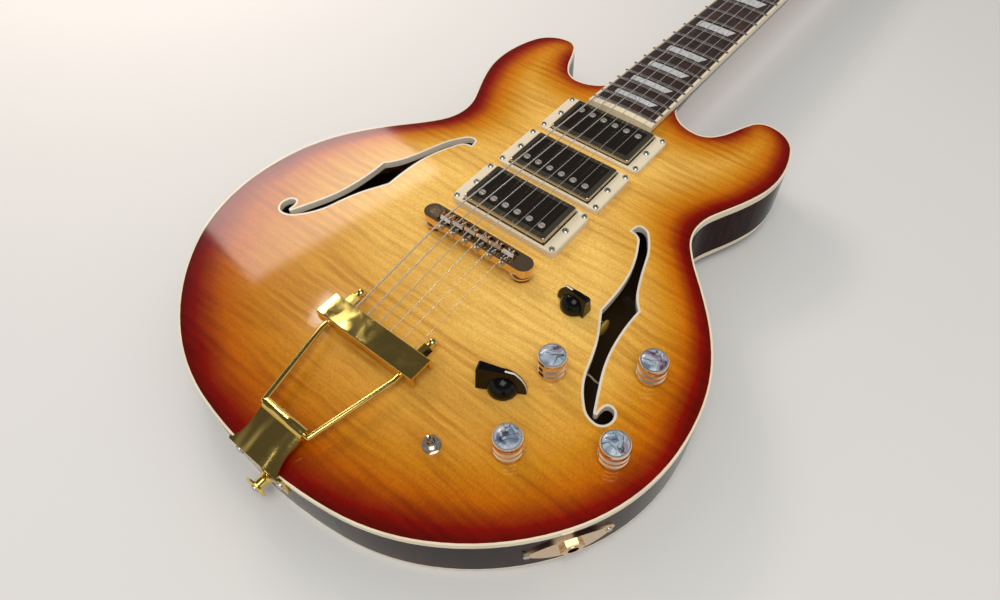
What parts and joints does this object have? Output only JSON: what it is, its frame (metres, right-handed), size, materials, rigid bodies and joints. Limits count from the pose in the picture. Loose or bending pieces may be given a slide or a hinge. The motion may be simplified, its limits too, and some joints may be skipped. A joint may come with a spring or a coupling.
{
  "type": "semi-hollow electric guitar",
  "caption": "Double-cutaway semi-hollow electric guitar with arched flamed top, covered pickups, trapeze tailpiece, rotary selectors and geared tuners, lying on its back.",
  "frame": {"origin": "on the centreline of the back's flat rest face, straight below the bridge line (nut-side end of the string length)", "axes": "+X to the treble side, +Y along the neck to the headstock, +Z out of the top"},
  "size_m": [0.36, 1.0017, 0.0953],
  "materials": {
    "flamed_maple_top": "glossy, flamed",
    "dark_cherry_back": "glossy",
    "dark_rim": "glossy",
    "light_wood": "bare",
    "centre_block_wood": "bare",
    "cream_binding": "glossy",
    "white_binding": "glossy",
    "neck_wood": "glossy",
    "ebony": "satin",
    "fret_metal": "polished",
    "pearl": "pearly",
    "bone": "satin",
    "steel": "bright",
    "black_gloss": "glossy",
    "gold": "polished",
    "dark_mirror_metal": "mirror",
    "cream_ring": "glossy",
    "grey_metal": "plain",
    "bright_saddle_metal": "bright",
    "gold_knob": "polished",
    "pickup_cover_metal": "polished",
    "pickup_core_dark": "matte"
  },
  "bodies": {
    "guitar_body": {"top_plate": "flamed_maple_top", "back_plate": "dark_cherry_back", "rim": "dark_rim", "linings": "light_wood", "centre_block": "centre_block_wood", "body_bindings": "cream_binding", "fhole_bindings": "white_binding", "neck": "neck_wood", "fretboard": "ebony", "fretboard_binding": "cream_binding", "frets": "fret_metal", "inlays": "pearl", "nut": "bone", "truss_rod": "steel", "truss_rod_cover": "black_gloss", "headstock_face": "black_gloss", "strings": "steel", "tuner_housings": "gold", "bridge_body": "dark_mirror_metal", "bridge_posts": "gold", "intonation_screws": "steel", "tailpiece_hinge_plate": "gold", "tailpiece_rod": "gold", "tailpiece_crossbar": "gold", "pickup_rings": "cream_ring", "mounting_screws": "gold", "strap_buttons": "gold", "control_pots_and_switches": "grey_metal", "output_jack": "gold"},
    "knob_1": {"knob_1": "gold_knob"},
    "knob_2": {"knob_2": "gold_knob"},
    "knob_3": {"knob_3": "gold_knob"},
    "knob_4": {"knob_4": "gold_knob"},
    "selector_1": {"selector_knob_1": "black_gloss"},
    "selector_2": {"selector_knob_2": "black_gloss"},
    "toggle_switch_lever": {"toggle_lever": "gold"},
    "saddle_1": {"saddle_1": "bright_saddle_metal"},
    "saddle_2": {"saddle_2": "bright_saddle_metal"},
    "saddle_3": {"saddle_3": "bright_saddle_metal"},
    "saddle_4": {"saddle_4": "bright_saddle_metal"},
    "saddle_5": {"saddle_5": "bright_saddle_metal"},
    "saddle_6": {"saddle_6": "bright_saddle_metal"},
    "pickup_bridge": {"pickup_cover_bridge": "pickup_cover_metal", "pickup_core_bridge": "pickup_core_dark"},
    "pickup_middle": {"pickup_cover_middle": "pickup_cover_metal", "pickup_core_middle": "pickup_core_dark"},
    "pickup_neck": {"pickup_cover_neck": "pickup_cover_metal", "pickup_core_neck": "pickup_core_dark"},
    "tuner_button_1": {"tuner_button_1": "gold"},
    "tuner_post_1": {"tuner_post_1": "gold"},
    "tuner_button_2": {"tuner_button_2": "gold"},
    "tuner_post_2": {"tuner_post_2": "gold"},
    "tuner_button_3": {"tuner_button_3": "gold"},
    "tuner_post_3": {"tuner_post_3": "gold"},
    "tuner_button_4": {"tuner_button_4": "gold"},
    "tuner_post_4": {"tuner_post_4": "gold"},
    "tuner_button_5": {"tuner_button_5": "gold"},
    "tuner_post_5": {"tuner_post_5": "gold"},
    "tuner_button_6": {"tuner_button_6": "gold"},
    "tuner_post_6": {"tuner_post_6": "gold"}
  },
  "joints": [
    {"name": "knob_1_turn", "type": "hinge", "parent": "guitar_body", "child": "knob_1", "pos_m": [0.0944, -0.0461, 0.04612], "axis": [0, 0, 1], "range_deg": [-150, 150]},
    {"name": "knob_2_turn", "type": "hinge", "parent": "guitar_body", "child": "knob_2", "pos_m": [0.1416, -0.013, 0.04585], "axis": [0, 0, 1], "range_deg": [-150, 150]},
    {"name": "knob_3_turn", "type": "hinge", "parent": "guitar_body", "child": "knob_3", "pos_m": [0.1059, -0.1014, 0.04567], "axis": [0, 0, 1], "range_deg": [-150, 150]},
    {"name": "knob_4_turn", "type": "hinge", "parent": "guitar_body", "child": "knob_4", "pos_m": [0.1527, -0.0692, 0.04549], "axis": [0, 0, 1], "range_deg": [-150, 150]},
    {"name": "selector_1_turn", "type": "hinge", "parent": "guitar_body", "child": "selector_1", "pos_m": [0.0776, -0.0005, 0.04637], "axis": [0, 0, 1], "range_deg": [-60, 60]},
    {"name": "selector_2_turn", "type": "hinge", "parent": "guitar_body", "child": "selector_2", "pos_m": [0.0792, -0.0728, 0.04606], "axis": [0, 0, 1], "range_deg": [-60, 60]},
    {"name": "toggle_lever_throw", "type": "hinge", "parent": "guitar_body", "child": "toggle_switch_lever", "pos_m": [0.0712, -0.1256, 0.04886], "axis": [0.866, 0.5, 0], "range_deg": [-24, 0]},
    {"name": "saddle_1_slide", "type": "slide", "parent": "guitar_body", "child": "saddle_1", "axis": [0, 1, 0], "range_m": [-0.0015, 0.0015]},
    {"name": "saddle_2_slide", "type": "slide", "parent": "guitar_body", "child": "saddle_2", "axis": [0, 1, 0], "range_m": [-0.0015, 0.0015]},
    {"name": "saddle_3_slide", "type": "slide", "parent": "guitar_body", "child": "saddle_3", "axis": [0, 1, 0], "range_m": [-0.0015, 0.0015]},
    {"name": "saddle_4_slide", "type": "slide", "parent": "guitar_body", "child": "saddle_4", "axis": [0, 1, 0], "range_m": [-0.0015, 0.0015]},
    {"name": "saddle_5_slide", "type": "slide", "parent": "guitar_body", "child": "saddle_5", "axis": [0, 1, 0], "range_m": [-0.0015, 0.0015]},
    {"name": "saddle_6_slide", "type": "slide", "parent": "guitar_body", "child": "saddle_6", "axis": [0, 1, 0], "range_m": [-0.0015, 0.0015]},
    {"name": "pickup_bridge_height", "type": "slide", "parent": "guitar_body", "child": "pickup_bridge", "axis": [0, 0, 1], "range_m": [-0.002, 0.002]},
    {"name": "pickup_middle_height", "type": "slide", "parent": "guitar_body", "child": "pickup_middle", "axis": [0, 0, 1], "range_m": [-0.002, 0.002]},
    {"name": "pickup_neck_height", "type": "slide", "parent": "guitar_body", "child": "pickup_neck", "axis": [0, 0, 1], "range_m": [-0.002, 0.002]},
    {"name": "tuner_button_1_turn", "type": "hinge", "parent": "guitar_body", "child": "tuner_button_1", "pos_m": [-0.0225, 0.67238, -0.00216], "axis": [-1, 0, 0], "continuous": true},
    {"name": "tuner_post_1_turn", "type": "hinge", "parent": "guitar_body", "child": "tuner_post_1", "pos_m": [-0.0225, 0.66972, 0.02019], "axis": [0, 0.247, 0.969], "continuous": true},
    {"name": "tuner_button_2_turn", "type": "hinge", "parent": "guitar_body", "child": "tuner_button_2", "pos_m": [-0.0257, 0.71502, -0.01303], "axis": [-1, 0, 0], "continuous": true},
    {"name": "tuner_post_2_turn", "type": "hinge", "parent": "guitar_body", "child": "tuner_post_2", "pos_m": [-0.0257, 0.71236, 0.00932], "axis": [0, 0.247, 0.969], "continuous": true},
    {"name": "tuner_button_3_turn", "type": "hinge", "parent": "guitar_body", "child": "tuner_button_3", "pos_m": [-0.0289, 0.75766, -0.0239], "axis": [-1, 0, 0], "continuous": true},
    {"name": "tuner_post_3_turn", "type": "hinge", "parent": "guitar_body", "child": "tuner_post_3", "pos_m": [-0.0289, 0.75499, -0.00155], "axis": [0, 0.247, 0.969], "continuous": true},
    {"name": "tuner_button_4_turn", "type": "hinge", "parent": "guitar_body", "child": "tuner_button_4", "pos_m": [0.0225, 0.67238, -0.00216], "axis": [1, 0, 0], "continuous": true},
    {"name": "tuner_post_4_turn", "type": "hinge", "parent": "guitar_body", "child": "tuner_post_4", "pos_m": [0.0225, 0.66972, 0.02019], "axis": [0, 0.247, 0.969], "continuous": true},
    {"name": "tuner_button_5_turn", "type": "hinge", "parent": "guitar_body", "child": "tuner_button_5", "pos_m": [0.0257, 0.71502, -0.01303], "axis": [1, 0, 0], "continuous": true},
    {"name": "tuner_post_5_turn", "type": "hinge", "parent": "guitar_body", "child": "tuner_post_5", "pos_m": [0.0257, 0.71236, 0.00932], "axis": [0, 0.247, 0.969], "continuous": true},
    {"name": "tuner_button_6_turn", "type": "hinge", "parent": "guitar_body", "child": "tuner_button_6", "pos_m": [0.0289, 0.75766, -0.0239], "axis": [1, 0, 0], "continuous": true},
    {"name": "tuner_post_6_turn", "type": "hinge", "parent": "guitar_body", "child": "tuner_post_6", "pos_m": [0.0289, 0.75499, -0.00155], "axis": [0, 0.247, 0.969], "continuous": true}
  ],
  "couplings": [
    {"joint": "tuner_post_1_turn", "follows": "tuner_button_1_turn", "ratio": 0.071429},
    {"joint": "tuner_post_2_turn", "follows": "tuner_button_2_turn", "ratio": 0.071429},
    {"joint": "tuner_post_3_turn", "follows": "tuner_button_3_turn", "ratio": 0.071429},
    {"joint": "tuner_post_4_turn", "follows": "tuner_button_4_turn", "ratio": 0.071429},
    {"joint": "tuner_post_5_turn", "follows": "tuner_button_5_turn", "ratio": 0.071429},
    {"joint": "tuner_post_6_turn", "follows": "tuner_button_6_turn", "ratio": 0.071429}
  ]
}
